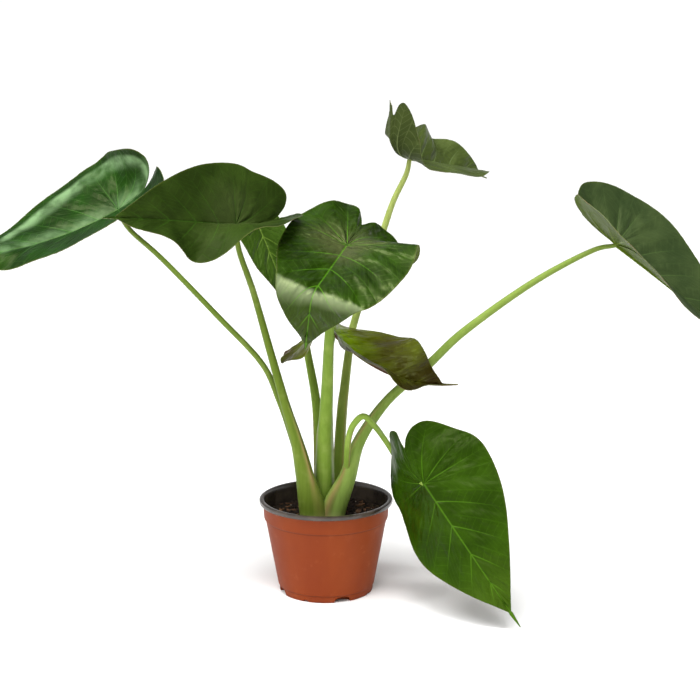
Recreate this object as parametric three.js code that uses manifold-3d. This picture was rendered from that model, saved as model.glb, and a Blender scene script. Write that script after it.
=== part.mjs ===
// Alocasia wentii with eight leaves in a two-tone plastic nursery pot.
// Millimetres, +Z up, origin under the middle of the pot, +X to the right and +Y away from the viewer.
import * as THREE from 'three';
import Module from 'manifold-3d';

const wasm = await Module();
wasm.setup();

// Gap left between pieces that touch in the real thing
const GAP = 0.3;

// Pot
const POT_SIDES = 48;
const RIM_RADIUS = 76;
const POT_HEIGHT = 108;
const BASE_RADIUS = 54;
const STEP_HEIGHT = 85;
const FLOOR_TOP = 4.8;
const DRAIN_FIRST_DEG = 21;
const DRAIN_WIDTH = 19;
const DRAIN_HEIGHT = 6.6;
const NOTCH_FIRST_DEG = -25;
const NOTCH_WIDTH = 6;
const NOTCH_HEIGHT = 2.4;

// Potting mix and rootstock
const SOIL_LEVEL = 88;
const SOIL_SPOKES = 40;
const CORM_TOP = 83.7;
const CORM_X = -5;
const CORM_Y = 3;
// Bark chips on the potting mix: place, turn, length and width
const CHIPS = [
  [46, 18, 20, 17, 6], [52, -6, 75, 13, 5], [38, 34, -30, 15, 5], [56, 10, -60, 9, 4],
  [-50, 12, 15, 12, 5], [-40, 34, 60, 11, 4], [-44, -26, -20, 10, 5], [22, 48, 10, 13, 5],
  [-10, 52, 80, 10, 4], [40, -30, 35, 12, 5],
];

// Blades
const BLADE_THICKNESS = 0.9;
const QUILT = 1.1;
const RIB_AT_STALK = 2.4;
const RIB_AT_TIP = 0.5;

// Half outline of a blade in lengths of the midrib: sideways, then along it from the stalk to the tip.
// It runs from the notch between the lobes round the lobe and the side to the tip.
const WIDEST = 0.475;
const OUTLINE = [
  [0, -0.3], [0.035, -0.38], [0.1, -0.445], [0.2, -0.455], [0.32, -0.37], [0.425, -0.2], [0.475, 0.02],
  [0.46, 0.23], [0.395, 0.43], [0.29, 0.62], [0.175, 0.79], [0.075, 0.92], [0.012, 1],
];
// Where the rays from the rib meet the outline, and the number of side veins passed there
const RAY_STOPS = [0, 1, 2, 3, 4, 5, 5.5, 6, 6.5, 7, 7.5, 8, 8.5, 9, 9.5, 10, 10.5, 11, 12];
const VEIN_COUNT = [[0, 0], [3, 1], [5, 2], [11, 8], [12, 9]];
// Along the rib: place where a side vein meets the margin, and place where it leaves the rib
const VEIN_ORIGIN = [[0.23, 0], [0.43, 0.14], [0.62, 0.33], [0.79, 0.55], [0.92, 0.77], [1, 1]];
const RAY_STEPS = [0, 0.05, 0.3, 0.6, 0.85, 1];
const TAIL_STEPS = [0.35, 0.7, 1];
const SPINE_STEPS = 160;
// In lengths of the midrib: reach of the lobes behind the stalk, and half width of a sagging place
const LOBE_REACH = 0.48;
const SAG_SPREAD = 0.17;
const YOUNG_LEAF = 4;

const LEAF_DEFAULTS = {
  length: 165, width: 1, sideR: 1, sideL: 1, blunt: 0, lobe: 1, notch: 0.3, tail: 20,
  dip: 0, roll: 0, droop: 0, droopFrom: 0, droopTo: 1, bow: 0, twist: 0,
  lift: 0, liftTo: 0.5, backBow: 0, backTo: 0.4,
  foldR: 8, foldL: 8, openR: 0, openL: 0, lobeR: 0, lobeL: 0, sagR: 0, sagL: 0, sagAt: 0.3,
  curlR: -10, curlL: -10, wave: 1.2, waves: 5, phase: 0,
};

// Blades: where the stalk meets the blade, heading of the rib (0 right, 90 away), downward dip and roll.
// droop bends the rib, lift raises the lobes, fold raises a half, open changes that fold toward the tip,
// and sag lets the half hang at one place along it.
const LEAVES = [
  {
    at: [-225, -20, 440], heading: 195, dip: 28, roll: -24, length: 172, sideL: 0.84, lobe: 0.95,
    notch: 0.22, droop: -30, lift: 70, foldR: 15, foldL: 30, openR: -20, openL: -26, lobeR: 14, lobeL: -24,
    sagL: 50, sagAt: 0.9, curlL: -4, phase: 0.4,
  },
  {
    at: [-92, -98, 434], heading: 219, dip: -9, roll: -54, length: 154, sideR: 0.9, sideL: 0.8,
    blunt: -0.12, tail: 16, droop: -5, bow: -6, lift: 14, liftTo: 0.3, backBow: 14, backTo: 0.3, foldR: 26,
    foldL: 64, openL: -60, lobeL: 3, sagL: 42, sagAt: 0.42, phase: 1.1,
  },
  {
    at: [24, -76, 409], heading: 250, dip: 19, roll: -14, length: 164, sideR: 0.8, sideL: 1.02, blunt: 0.18,
    tail: 8, droop: 92, droopFrom: 0.56, droopTo: 0.74, twist: -6, foldR: 18, foldL: 21, openL: -46,
    lobeL: -50, wave: 2, waves: 6, phase: 2,
  },
  {
    at: [-76, 34, 415], heading: -45, dip: 55, length: 100, width: 0.75, droop: 10, phase: 2.6,
  },
  {
    at: [9, 2, 299], heading: -5, dip: 47, roll: -3, length: 146, width: 0.84, blunt: 0.65, lobe: 1.05,
    droop: -46, bow: 45, twist: -50, lift: -80, liftTo: 0.12, foldR: 14, foldL: 9, openR: 45, openL: 51,
    lobeR: -22, lobeL: -14, sagR: 38, sagAt: 0.86, wave: 1.8, waves: 7, phase: 0.9,
  },
  {
    at: [95, 70, 487], heading: 42, dip: 9, roll: 6, length: 118, width: 0.86, sideR: 0.8, sideL: 0.63,
    blunt: 2.1, lobe: 1.56, notch: 0.44, tail: 14, droop: 9, lift: 80, liftTo: 0.48, foldR: -4, foldL: 71,
    openR: 20, openL: -4, lobeR: 34, lobeL: -37, sagL: 32, sagAt: 0.54, wave: 1.5, phase: 3.1,
  },
  {
    at: [318, -20, 402], heading: -10, dip: 36, roll: 12, length: 170, sideL: 0.94, blunt: -0.08,
    lobe: 0.95, droop: 6, lift: 20, foldR: 32, foldL: 34, openR: -28, lobeR: 4, phase: 1.7,
  },
  {
    at: [107, -95, 152], heading: -29, dip: 51, roll: 66, length: 165, blunt: -0.2, lobe: 0.88, droop: 5,
    backBow: -18, foldR: -51, foldL: 0, openR: 72, lobeR: -14, lobeL: -10, curlR: -8, curlL: -15,
    phase: 0.2,
  },
];

// Stalks to the blade of the same number: points on the middle line and radii there.
// The last one grows out of the sheath of the seventh, the others out of the rootstock.
const STALKS = [
  {
    points: [[-12, 18, 76], [-17, 16, 100], [-38, 6, 177], [-52, -3, 222], [-71, -11, 267],
      [-118, -18, 321], [-177, -22, 385], [-212, -23, 418], [-225, -21, 439]],
    radii: [5.5, 5.2, 4.2, 3.6, 3.3, 3.1, 2.9, 2.7, 2.4],
  },
  {
    points: [[-15, -10, 76], [-19, -12, 110], [-25, -14, 148], [-33, -17, 183], [-46, -20, 227],
      [-61, -26, 285], [-77, -48, 353], [-90, -78, 403], [-92, -97, 433]],
    radii: [13.5, 12.8, 10.4, 7.4, 5.4, 4.4, 3.6, 3.1, 2.5],
  },
  {
    points: [[-3, 4, 76], [-2, 0, 130], [-1, -13, 181], [2, -36, 240], [5, -64, 309], [9, -74, 350],
      [19, -78, 391], [24, -76, 408]],
    radii: [11, 10, 8.5, 6.8, 5.2, 4.3, 3.4, 2.8],
  },
  {
    points: [[-6, 22, 76], [-8, 30, 169], [-12, 40, 214], [-21, 53, 262], [-34, 58, 328], [-55, 50, 380],
      [-76, 34, 414]],
    radii: [8, 6.6, 5.2, 4.4, 3.8, 3.2, 2.3],
  },
  {
    points: [[4, 14, 76], [3, 12, 160], [3, 9, 232], [5, 5, 276], [9, 2, 298]],
    radii: [7, 6, 4.6, 3.6, 2.8],
  },
  {
    points: [[13, 26, 76], [17, 38, 180], [26, 58, 265], [33, 71, 300], [65, 74, 402], [77, 73, 438],
      [91, 71, 468], [95, 70, 486]],
    radii: [7.5, 6, 4.7, 4.3, 3.8, 3.3, 3, 2.5],
  },
  {
    points: [[5, -8, 76], [13, -9, 104], [24, -10, 135], [38, -12, 179], [69, -14, 225], [113, -16, 265],
      [154, -18, 305], [227, -20, 359], [290, -20, 394], [318, -20, 401]],
    radii: [12.8, 12.2, 10.4, 7.4, 5.6, 5, 4.6, 3.8, 3, 2.4],
  },
  {
    points: [[24, -11, 140], [24, -20, 155], [24.5, -29, 170], [26, -36, 187], [31, -40, 203], [42, -43, 214],
      [54, -36, 202], [70, -18, 175], [92, -57, 147], [106.6, -93.3, 152]],
    radii: [3.6, 3.8, 3.9, 3.8, 3.7, 3.6, 3.5, 3.2, 2.9, 2.5],
  },
];
const STALK_SIDES = 10;
const STALK_RINGS = 16;
// The order in which the stalks keep their full shape where their sheaths press together
const STALK_ORDER = [1, 6, 7, 2, 4, 3, 5, 0];

const COLORS = {
  pot: 0xa84e2d, soil: 0x2b211a, corm: 0x6d5639, stalk: 0x8caa4b, blade: 0x2c5a1e, youngBlade: 0x55641d,
};

const radians = THREE.MathUtils.degToRad;

function smooth(x) {
  const c = THREE.MathUtils.clamp(x, 0, 1);
  return c * c * (3 - 2 * c);
}

function interpolate(table, x) {
  if (x <= table[0][0]) {
    return table[0][1];
  }
  for (let i = 1; i < table.length; i += 1) {
    const [x0, y0] = table[i - 1];
    const [x1, y1] = table[i];
    if (x <= x1) {
      return y0 + ((y1 - y0) * (x - x0)) / (x1 - x0);
    }
  }
  return table[table.length - 1][1];
}

// Smooth curve through a list of points of any dimension, stop 0 at the first point
function curvePoint(points, stop) {
  const last = points.length - 1;
  const i = Math.min(Math.floor(stop), last - 1);
  const f = stop - i;
  const pick = (k, axis) => {
    if (k < 0) {
      return 2 * points[0][axis] - points[1][axis];
    }
    if (k > last) {
      return 2 * points[last][axis] - points[last - 1][axis];
    }
    return points[k][axis];
  };
  return points[0].map((_, axis) => {
    const [p0, p1, p2, p3] = [i - 1, i, i + 1, i + 2].map((k) => pick(k, axis));
    const square = (2 * p0 - 5 * p1 + 4 * p2 - p3) * f * f;
    const cube = (-p0 + 3 * p1 - 3 * p2 + p3) * f * f * f;
    return 0.5 * (2 * p1 + (p2 - p0) * f + square + cube);
  });
}

// Closed bodies

function solidFrom(positions, faces) {
  return new wasm.Manifold(new wasm.Mesh({
    numProp: 3,
    vertProperties: new Float32Array(positions.flat()),
    triVerts: new Uint32Array(faces.flat()),
  }));
}

function solidOfGeometry(geometry) {
  const merged = new Map();
  const positions = [];
  const source = geometry.getAttribute('position');
  const ids = [];
  for (let i = 0; i < source.count; i += 1) {
    const point = [source.getX(i), source.getY(i), source.getZ(i)];
    const key = point.map((c) => Math.round(c * 1e4)).join();
    if (!merged.has(key)) {
      merged.set(key, positions.length);
      positions.push(point);
    }
    ids.push(merged.get(key));
  }
  const order = geometry.index ? Array.from(geometry.index.array) : ids.map((_, i) => i);
  const faces = [];
  for (let i = 0; i < order.length; i += 3) {
    const [a, b, c] = [ids[order[i]], ids[order[i + 1]], ids[order[i + 2]]];
    if (a !== b && b !== c && c !== a) {
      faces.push([a, b, c]);
    }
  }
  return solidFrom(positions, faces);
}

function box(width, depth, height, x, y, z) {
  return solidOfGeometry(new THREE.BoxGeometry(width, depth, height).translate(x, y, z));
}

// Faces of a body, grouped by the connected shell that they belong to
function shellsOf(mesh) {
  const parent = Array.from({ length: mesh.vertProperties.length / mesh.numProp }, (_, i) => i);
  const rootOf = (i) => {
    let r = i;
    while (parent[r] !== r) {
      parent[r] = parent[parent[r]];
      r = parent[r];
    }
    return r;
  };
  const faces = [];
  for (let i = 0; i < mesh.triVerts.length; i += 3) {
    const [a, b, c] = mesh.triVerts.slice(i, i + 3);
    faces.push([a, b, c]);
    parent[rootOf(a)] = rootOf(b);
    parent[rootOf(b)] = rootOf(c);
  }
  const shells = new Map();
  for (const face of faces) {
    const root = rootOf(face[0]);
    shells.set(root, [...(shells.get(root) ?? []), face]);
  }
  return [...shells.values()];
}

// The biggest piece of a cut body, without the offcuts
function largestPiece(solid) {
  const mesh = solid.getMesh();
  const at = (i) => Array.from(mesh.vertProperties.slice(i * mesh.numProp, i * mesh.numProp + 3));
  const volume = (faces) => faces.reduce((sum, [a, b, c]) => {
    const [p, q, r] = [at(a), at(b), at(c)].map((v) => new THREE.Vector3(...v));
    return sum + p.dot(q.cross(r)) / 6;
  }, 0);
  const best = shellsOf(mesh).sort((f, g) => volume(g) - volume(f))[0];
  const kept = new Map();
  const positions = [];
  const faces = best.map((face) => face.map((i) => {
    if (!kept.has(i)) {
      kept.set(i, positions.length);
      positions.push(at(i));
    }
    return kept.get(i);
  }));
  return solidFrom(positions, faces);
}

function meshOf(name, solid, color, roughness) {
  const mesh = solid.getMesh();
  const positions = [];
  for (const i of mesh.triVerts) {
    positions.push(...mesh.vertProperties.slice(i * mesh.numProp, i * mesh.numProp + 3));
  }
  const geometry = new THREE.BufferGeometry();
  geometry.setAttribute('position', new THREE.Float32BufferAttribute(positions, 3));
  geometry.computeVertexNormals();
  const result = new THREE.Mesh(geometry, new THREE.MeshStandardMaterial({ color, roughness }));
  result.name = name;
  return result;
}

// Pot: outside wall with a collar and a step under it, rolled lip, ring of feet and a flat middle
function potBody() {
  const profile = [
    [0, 0], [35, 0], [37, 2.8], [45, 2.8], [46.5, 0], [52.8, 0], [BASE_RADIUS, 1.6],
    [68.9, STEP_HEIGHT - 0.6], [70.3, STEP_HEIGHT + 0.4], [71.6, 102.6], [75.2, 102.9], [RIM_RADIUS, 104.2],
    [RIM_RADIUS, 106.8], [75.1, POT_HEIGHT], [71.3, POT_HEIGHT], [70.3, 107.1], [69.6, 102.2],
    [68.5, STEP_HEIGHT + 1.2], [67.2, STEP_HEIGHT - 0.4], [52.4, 6.6], [50.6, FLOOR_TOP], [0, FLOOR_TOP],
  ];
  const points = profile.map(([r, z]) => new THREE.Vector2(r, z));
  const body = new THREE.LatheGeometry(points, POT_SIDES).rotateX(Math.PI / 2);
  let pot = solidOfGeometry(body);
  for (let k = 0; k < 4; k += 1) {
    pot = pot.subtract(footArch(DRAIN_FIRST_DEG + 90 * k, DRAIN_WIDTH, DRAIN_HEIGHT));
    pot = pot.subtract(footArch(NOTCH_FIRST_DEG + 90 * k, NOTCH_WIDTH, NOTCH_HEIGHT));
  }
  return pot;
}

// Arched opening through the foot ring, at an angle to the right of the front
function footArch(degrees, width, height) {
  const half = width / 2;
  const corner = Math.min(half, height) * 0.45;
  const shape = new THREE.Shape([
    new THREE.Vector2(-half, -1), new THREE.Vector2(half, -1), new THREE.Vector2(half, height - corner),
    new THREE.Vector2(half - corner, height), new THREE.Vector2(corner - half, height),
    new THREE.Vector2(-half, height - corner),
  ]);
  const arch = new THREE.ExtrudeGeometry(shape, { depth: 16, bevelEnabled: false });
  arch.rotateX(Math.PI / 2).translate(0, -45.6, 0).rotateZ(radians(degrees));
  return solidOfGeometry(arch);
}

// Potting mix: crumbly top, sides a gap away from the wall
function soilBody() {
  const rings = [7, 16, 26, 36, 46, 55, 62, 67.4].map((r) => ({ r, top: true }));
  const wall = [[67.9, 86.3], [66.6, 84.2], [52, 7], [50.2, FLOOR_TOP + GAP]];
  const positions = [[0, 0, soilHeight(0, 0)]];
  for (const { r } of rings) {
    for (let s = 0; s < SOIL_SPOKES; s += 1) {
      const a = (s / SOIL_SPOKES) * 2 * Math.PI;
      const [x, y] = [r * Math.cos(a), r * Math.sin(a)];
      positions.push([x, y, soilHeight(x, y)]);
    }
  }
  for (const [r, z] of wall) {
    for (let s = 0; s < SOIL_SPOKES; s += 1) {
      const a = (s / SOIL_SPOKES) * 2 * Math.PI;
      positions.push([r * Math.cos(a), r * Math.sin(a), z]);
    }
  }
  positions.push([0, 0, FLOOR_TOP + GAP]);
  const faces = [];
  const ringCount = rings.length + wall.length;
  for (let s = 0; s < SOIL_SPOKES; s += 1) {
    const next = (s + 1) % SOIL_SPOKES;
    faces.push([0, 1 + s, 1 + next]);
    for (let k = 1; k < ringCount; k += 1) {
      const inner = 1 + (k - 1) * SOIL_SPOKES;
      const outer = inner + SOIL_SPOKES;
      faces.push([inner + s, outer + s, outer + next], [inner + s, outer + next, inner + next]);
    }
    const bottom = 1 + (ringCount - 1) * SOIL_SPOKES;
    faces.push([bottom + s, positions.length - 1, bottom + next]);
  }
  let soil = solidFrom(positions, faces);
  for (const chip of CHIPS) {
    soil = soil.add(chipBody(...chip));
  }
  return soil;
}

function soilHeight(x, y) {
  const lumps = Math.sin(x * 0.31 + 1) * Math.sin(y * 0.27 + 0.4) + 0.6 * Math.sin(x * 0.13 - y * 0.17);
  const dish = 1.5 * (1 - Math.hypot(x, y) / 68);
  return SOIL_LEVEL + 0.8 * lumps + dish;
}

function chipBody(x, y, turn, length, width) {
  const chip = new THREE.BoxGeometry(length, width, 2.6);
  chip.rotateY(radians(turn / 9)).rotateZ(radians(turn));
  chip.translate(x, y, soilHeight(x, y) + 0.5);
  return solidOfGeometry(chip);
}

// Rootstock hidden in the mix, with a few thick roots
function cormBody(grow) {
  const profile = [[0, 44], [9, 46], [18, 54], [24, 66], [27, 78], [27, CORM_TOP], [0, CORM_TOP]];
  const points = profile.map(([r, z]) => {
    const spread = r > 0 ? r + grow : 0;
    return new THREE.Vector2(spread, z + (z > 70 ? grow : -grow));
  });
  const body = new THREE.LatheGeometry(points, 20).rotateX(Math.PI / 2).translate(CORM_X, CORM_Y, 0);
  let corm = solidOfGeometry(body);
  for (let k = 0; k < 5; k += 1) {
    const a = 0.5 + (k * 2 * Math.PI) / 5;
    const reach = (r, z) => [CORM_X + r * Math.cos(a), CORM_Y + r * Math.sin(a), z];
    const path = [reach(10, 60), reach(24, 50), reach(32, 34), reach(36 + 2 * (k % 2), 20 - grow)];
    corm = corm.add(tubeBody(path, [3.4, 3, 2.4, 1.4].map((r) => r + grow), 6, 7));
  }
  return corm;
}

// Round stem along a curve, with flat closed ends
function tubeBody(points, radii, sides, rings) {
  const last = points.length - 1;
  const centres = [];
  const radiusTable = radii.map((r, i) => [(i * last) / (radii.length - 1), r]);
  for (let i = 0; i < rings; i += 1) {
    const stop = (i * last) / (rings - 1);
    centres.push({ at: new THREE.Vector3(...curvePoint(points, stop)), r: interpolate(radiusTable, stop) });
  }
  const positions = [];
  let side = new THREE.Vector3(1, 0, 0);
  centres.forEach(({ at, r }, i) => {
    const before = centres[Math.max(i - 1, 0)].at;
    const after = centres[Math.min(i + 1, rings - 1)].at;
    const along = after.clone().sub(before).normalize();
    side = side.clone().addScaledVector(along, -side.dot(along)).normalize();
    const other = new THREE.Vector3().crossVectors(along, side);
    for (let s = 0; s < sides; s += 1) {
      const a = (s / sides) * 2 * Math.PI;
      const p = at.clone().addScaledVector(side, r * Math.cos(a)).addScaledVector(other, r * Math.sin(a));
      positions.push(p.toArray());
    }
  });
  const faces = [];
  const start = positions.push(centres[0].at.toArray()) - 1;
  const end = positions.push(centres[rings - 1].at.toArray()) - 1;
  for (let s = 0; s < sides; s += 1) {
    const next = (s + 1) % sides;
    faces.push([start, next, s]);
    for (let i = 0; i < rings - 1; i += 1) {
      const low = i * sides;
      const high = low + sides;
      faces.push([low + s, low + next, high + next], [low + s, high + next, high + s]);
    }
    faces.push([end, (rings - 1) * sides + s, (rings - 1) * sides + next]);
  }
  return solidFrom(positions, faces);
}

function stalkBody(stalk, grow) {
  return tubeBody(stalk.points, stalk.radii.map((r) => r + grow), STALK_SIDES, STALK_RINGS);
}

// Blade surface: the rib is a space curve with a frame at every step,
// and each half is folded and curled from it
class BladeShape {
  constructor(spec) {
    this.spec = { ...LEAF_DEFAULTS, ...spec };
    const { heading, dip, roll, length, tail, at } = this.spec;
    const [h, d] = [radians(heading), radians(dip)];
    const along = new THREE.Vector3(Math.cos(h) * Math.cos(d), Math.sin(h) * Math.cos(d), -Math.sin(d));
    const right = new THREE.Vector3(Math.sin(h), -Math.cos(h), 0);
    const up = new THREE.Vector3().crossVectors(right, along);
    right.applyAxisAngle(along, radians(roll));
    up.applyAxisAngle(along, radians(roll));
    this.base = [along, right, up];
    this.from = -LOBE_REACH * this.spec.lobe * length;
    this.step = (length + tail + 2 - this.from) / SPINE_STEPS;
    this.spine = [];
    const position = new THREE.Vector3();
    for (let i = 0; i <= SPINE_STEPS; i += 1) {
      const v = this.from + i * this.step;
      this.spine.push({ centre: position.clone(), axes: this.axesAt(v) });
      position.addScaledVector(this.axesAt(v + this.step / 2)[0], this.step);
    }
    const shift = new THREE.Vector3(...at).sub(this.spineAt(0).centre);
    this.spine.forEach((s) => s.centre.add(shift));
  }

  axesAt(v) {
    const s = this.spec;
    const x = Math.abs(v) / s.length;
    let bend = 0;
    let turn = 0;
    let twist = 0;
    if (v >= 0) {
      const share = (x - s.droopFrom) / (s.droopTo - s.droopFrom);
      bend = s.droop * (s.droopTo === 1 ? Math.min(x, 1) : smooth(share));
      turn = s.bow * Math.min(x, 1.2);
      twist = s.twist * Math.min(x, 1);
    } else {
      bend = s.lift * smooth(x / s.liftTo);
      turn = -s.backBow * smooth(x / s.backTo);
    }
    const m = new THREE.Matrix4().makeRotationZ(radians(turn));
    m.multiply(new THREE.Matrix4().makeRotationY(radians(bend)));
    m.multiply(new THREE.Matrix4().makeRotationX(radians(twist)));
    const e = m.elements;
    return [0, 4, 8].map((column) => {
      const axis = new THREE.Vector3();
      this.base.forEach((direction, row) => axis.addScaledVector(direction, e[column + row]));
      return axis;
    });
  }

  spineAt(v) {
    const place = THREE.MathUtils.clamp((v - this.from) / this.step, 0, SPINE_STEPS - 0.001);
    const i = Math.floor(place);
    const [a, b] = [this.spine[i], this.spine[i + 1]];
    return {
      centre: a.centre.clone().lerp(b.centre, place - i),
      axes: a.axes.map((axis, k) => axis.clone().lerp(b.axes[k], place - i)),
    };
  }

  // Angle of one half beside the rib
  foldAt(v, right) {
    const s = this.spec;
    const back = smooth(-v / (0.35 * s.length));
    const forward = THREE.MathUtils.clamp(v / s.length, 0, 1);
    const ahead = (1.12 * forward ** 2) / (forward + 0.12);
    const [fold, open, lobe, sag] = right
      ? [s.foldR, s.openR, s.lobeR, s.sagR]
      : [s.foldL, s.openL, s.lobeL, s.sagL];
    const hang = sag * Math.exp(-(((v / s.length - s.sagAt) / SAG_SPREAD) ** 2));
    return radians(fold + lobe * back + open * ahead - hang);
  }

  // u to the right, v along the rib, h above the middle of the blade
  point(u, v, h) {
    const s = this.spec;
    const { centre, axes } = this.spineAt(v);
    if (u === 0) {
      const tilt = (this.foldAt(v, false) - this.foldAt(v, true)) / 2;
      centre.addScaledVector(axes[1], h * Math.sin(tilt)).addScaledVector(axes[2], h * Math.cos(tilt));
      return centre.toArray();
    }
    const start = this.foldAt(v, u > 0);
    const bend = radians((u > 0 ? s.curlR : s.curlL) || 0.001) / (WIDEST * s.length * s.width);
    const angle = start + bend * Math.abs(u);
    const side = (Math.sin(angle) - Math.sin(start)) / bend - h * Math.sin(angle);
    const rise = (Math.cos(start) - Math.cos(angle)) / bend + h * Math.cos(angle);
    return centre.addScaledVector(axes[1], Math.sign(u) * side).addScaledVector(axes[2], rise).toArray();
  }

  // Where the rays of one half meet the margin
  marginPoints(sign) {
    const { length, lobe, notch, tail, blunt, sideR, sideL } = this.spec;
    const width = this.spec.width * (sign > 0 ? sideR : sideL);
    const outline = OUTLINE.map((p) => [...p]);
    outline[0][1] = -notch;
    const points = RAY_STOPS.map((stop) => {
      const [u, v] = curvePoint(outline, stop);
      return [u * width * (1 + blunt * Math.max(v, 0)) * length, v * (v < 0 ? lobe : 1) * length];
    });
    const half = 0.012 * length * width;
    return [...points, ...TAIL_STEPS.map((k) => [half * (1 - k) + 0.4, length + tail * k])];
  }

  // Point at a share of the way from the rib to the margin, along a ray that swings forward like a side vein
  rayPoint([mu, mv], share) {
    const { length } = this.spec;
    const origin = mv > length ? mv : length * interpolate(VEIN_ORIGIN, mv / length);
    const swing = origin > 0 ? 0.1 * mu : 0;
    const middle = [mu / 2, (origin + mv) / 2 - swing];
    const rest = 1 - share;
    const u = 2 * share * rest * middle[0] + share * share * mu;
    const v = rest * rest * origin + 2 * share * rest * middle[1] + share * share * mv;
    return [u, v];
  }
}

// Closed blade: the same net of triangles on the upper and the lower face, joined round the margin
function bladeBody(spec, above, below) {
  const shape = new BladeShape(spec);
  const { length, wave, waves, phase } = shape.spec;
  const margins = { 1: shape.marginPoints(1), '-1': shape.marginPoints(-1) };
  const end = margins[1].length - 1;
  const ids = new Map();
  const positions = [];
  const vertex = (sign, i, j) => {
    const [u, v] = shape.rayPoint(margins[sign][i], RAY_STEPS[j]);
    const shared = i === 0 || j === 0;
    const key = shared ? `${u.toFixed(3)},${v.toFixed(3)}` : `${sign},${i},${j}`;
    if (!ids.has(key)) {
      ids.set(key, positions.length);
      const stop = RAY_STOPS[i] ?? 12;
      const share = RAY_STEPS[j];
      const around = i / end;
      const veins = interpolate(VEIN_COUNT, stop);
      const quilt = Math.sin(Math.PI * veins) ** 2 * Math.sin(Math.PI * Math.min(share / 0.95, 1));
      const ripple = Math.sin(2 * Math.PI * waves * around + phase + (sign > 0 ? 0 : 1.7));
      const lift = QUILT * quilt + wave * share ** 3 * ripple * Math.sqrt(Math.sin(Math.PI * around));
      const thinned = smooth(Math.abs(v) / length);
      const rib = j === 0 ? THREE.MathUtils.lerp(RIB_AT_STALK, RIB_AT_TIP, thinned) : 0;
      positions.push(shape.point(sign * u, v, lift + above));
      positions.push(shape.point(sign * u, v, lift - below - rib));
    }
    return ids.get(key);
  };
  const faces = [];
  const addFace = (a, b, c) => {
    if (a !== b && b !== c && c !== a) {
      faces.push([a, b, c], [a + 1, c + 1, b + 1]);
    }
  };
  const addRim = (a, b) => faces.push([a, b + 1, b], [a, a + 1, b + 1]);
  const last = RAY_STEPS.length - 1;
  for (const sign of [1, -1]) {
    const order = (a, b, c) => (sign > 0 ? addFace(a, b, c) : addFace(a, c, b));
    for (let i = 0; i < end; i += 1) {
      for (let j = 0; j < last; j += 1) {
        const [a, b] = [vertex(sign, i, j), vertex(sign, i + 1, j)];
        const [c, d] = [vertex(sign, i + 1, j + 1), vertex(sign, i, j + 1)];
        if ((i + j) % 2) {
          order(a, c, b);
          order(a, d, c);
        } else {
          order(a, d, b);
          order(b, d, c);
        }
      }
      const [a, b] = [vertex(sign, i, last), vertex(sign, i + 1, last)];
      if (sign > 0) {
        addRim(a, b);
      } else {
        addRim(b, a);
      }
    }
    for (let j = 0; j < last; j += 1) {
      const [a, b] = [vertex(sign, end, j), vertex(sign, end, j + 1)];
      if (sign > 0) {
        addRim(b, a);
      } else {
        addRim(a, b);
      }
    }
  }
  return solidFrom(positions, faces);
}

function potMesh() {
  return meshOf('pot', potBody(), COLORS.pot, 0.55);
}

function soilMesh() {
  let soil = soilBody().subtract(cormBody(GAP));
  const plug = box(90, 90, 40, CORM_X, CORM_Y, CORM_TOP - 20);
  for (const stalk of STALKS) {
    soil = soil.subtract(stalkBody(stalk, GAP).subtract(plug));
  }
  return meshOf('potting_mix', largestPiece(soil), COLORS.soil, 0.95);
}

function stalkMeshes() {
  const ground = box(200, 200, 60, 0, 0, CORM_TOP + GAP - 30);
  const done = [];
  const meshes = [];
  for (const k of STALK_ORDER) {
    let stalk = stalkBody(STALKS[k], 0).subtract(ground);
    for (const other of done) {
      stalk = stalk.subtract(stalkBody(STALKS[other], GAP));
    }
    stalk = stalk.subtract(bladeBody(LEAVES[k], BLADE_THICKNESS, BLADE_THICKNESS / 2 + 2 * GAP));
    meshes[k] = meshOf(`petiole_${k + 1}`, largestPiece(stalk), COLORS.stalk, 0.45);
    done.push(k);
  }
  return meshes;
}

function bladeMeshes() {
  return LEAVES.map((spec, k) => {
    const blade = bladeBody(spec, BLADE_THICKNESS / 2, BLADE_THICKNESS / 2);
    return meshOf(`leaf_blade_${k + 1}`, blade, k === YOUNG_LEAF ? COLORS.youngBlade : COLORS.blade, 0.35);
  });
}

const group = new THREE.Group();
group.name = 'potted_alocasia_wentii';
group.add(potMesh(), soilMesh(), meshOf('corm', cormBody(0), COLORS.corm, 0.8));
group.add(...stalkMeshes(), ...bladeMeshes());

export default group;
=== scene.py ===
"""Potted alocasia wentii: fine leaf blades, stalks with sheaths, two-tone pot and crumbly potting mix."""
import math

import bmesh
import bpy
import numpy as np
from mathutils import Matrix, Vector


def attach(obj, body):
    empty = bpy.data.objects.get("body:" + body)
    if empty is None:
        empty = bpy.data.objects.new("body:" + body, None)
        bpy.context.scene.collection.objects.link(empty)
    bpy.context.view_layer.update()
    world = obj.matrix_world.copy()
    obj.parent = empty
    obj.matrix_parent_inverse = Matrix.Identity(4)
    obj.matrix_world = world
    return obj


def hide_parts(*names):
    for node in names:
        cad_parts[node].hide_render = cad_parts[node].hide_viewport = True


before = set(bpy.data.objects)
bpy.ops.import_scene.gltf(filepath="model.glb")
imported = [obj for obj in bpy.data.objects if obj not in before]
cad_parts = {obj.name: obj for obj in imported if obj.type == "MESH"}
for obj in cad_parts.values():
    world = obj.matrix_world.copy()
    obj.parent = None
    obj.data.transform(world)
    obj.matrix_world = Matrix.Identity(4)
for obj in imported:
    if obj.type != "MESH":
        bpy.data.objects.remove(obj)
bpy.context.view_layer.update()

MM = 0.001
RNG = np.random.default_rng(7)

# Leaf blades. Shapes are in millimetres, and mesh_object turns them into metres.

BLADE_THICKNESS = 0.9
EDGE_THICKNESS = 0.5
QUILT = 1.1
FINE_QUILT = 0.22
RIB_AT_STALK = 2.4
RIB_AT_TIP = 0.5
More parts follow.
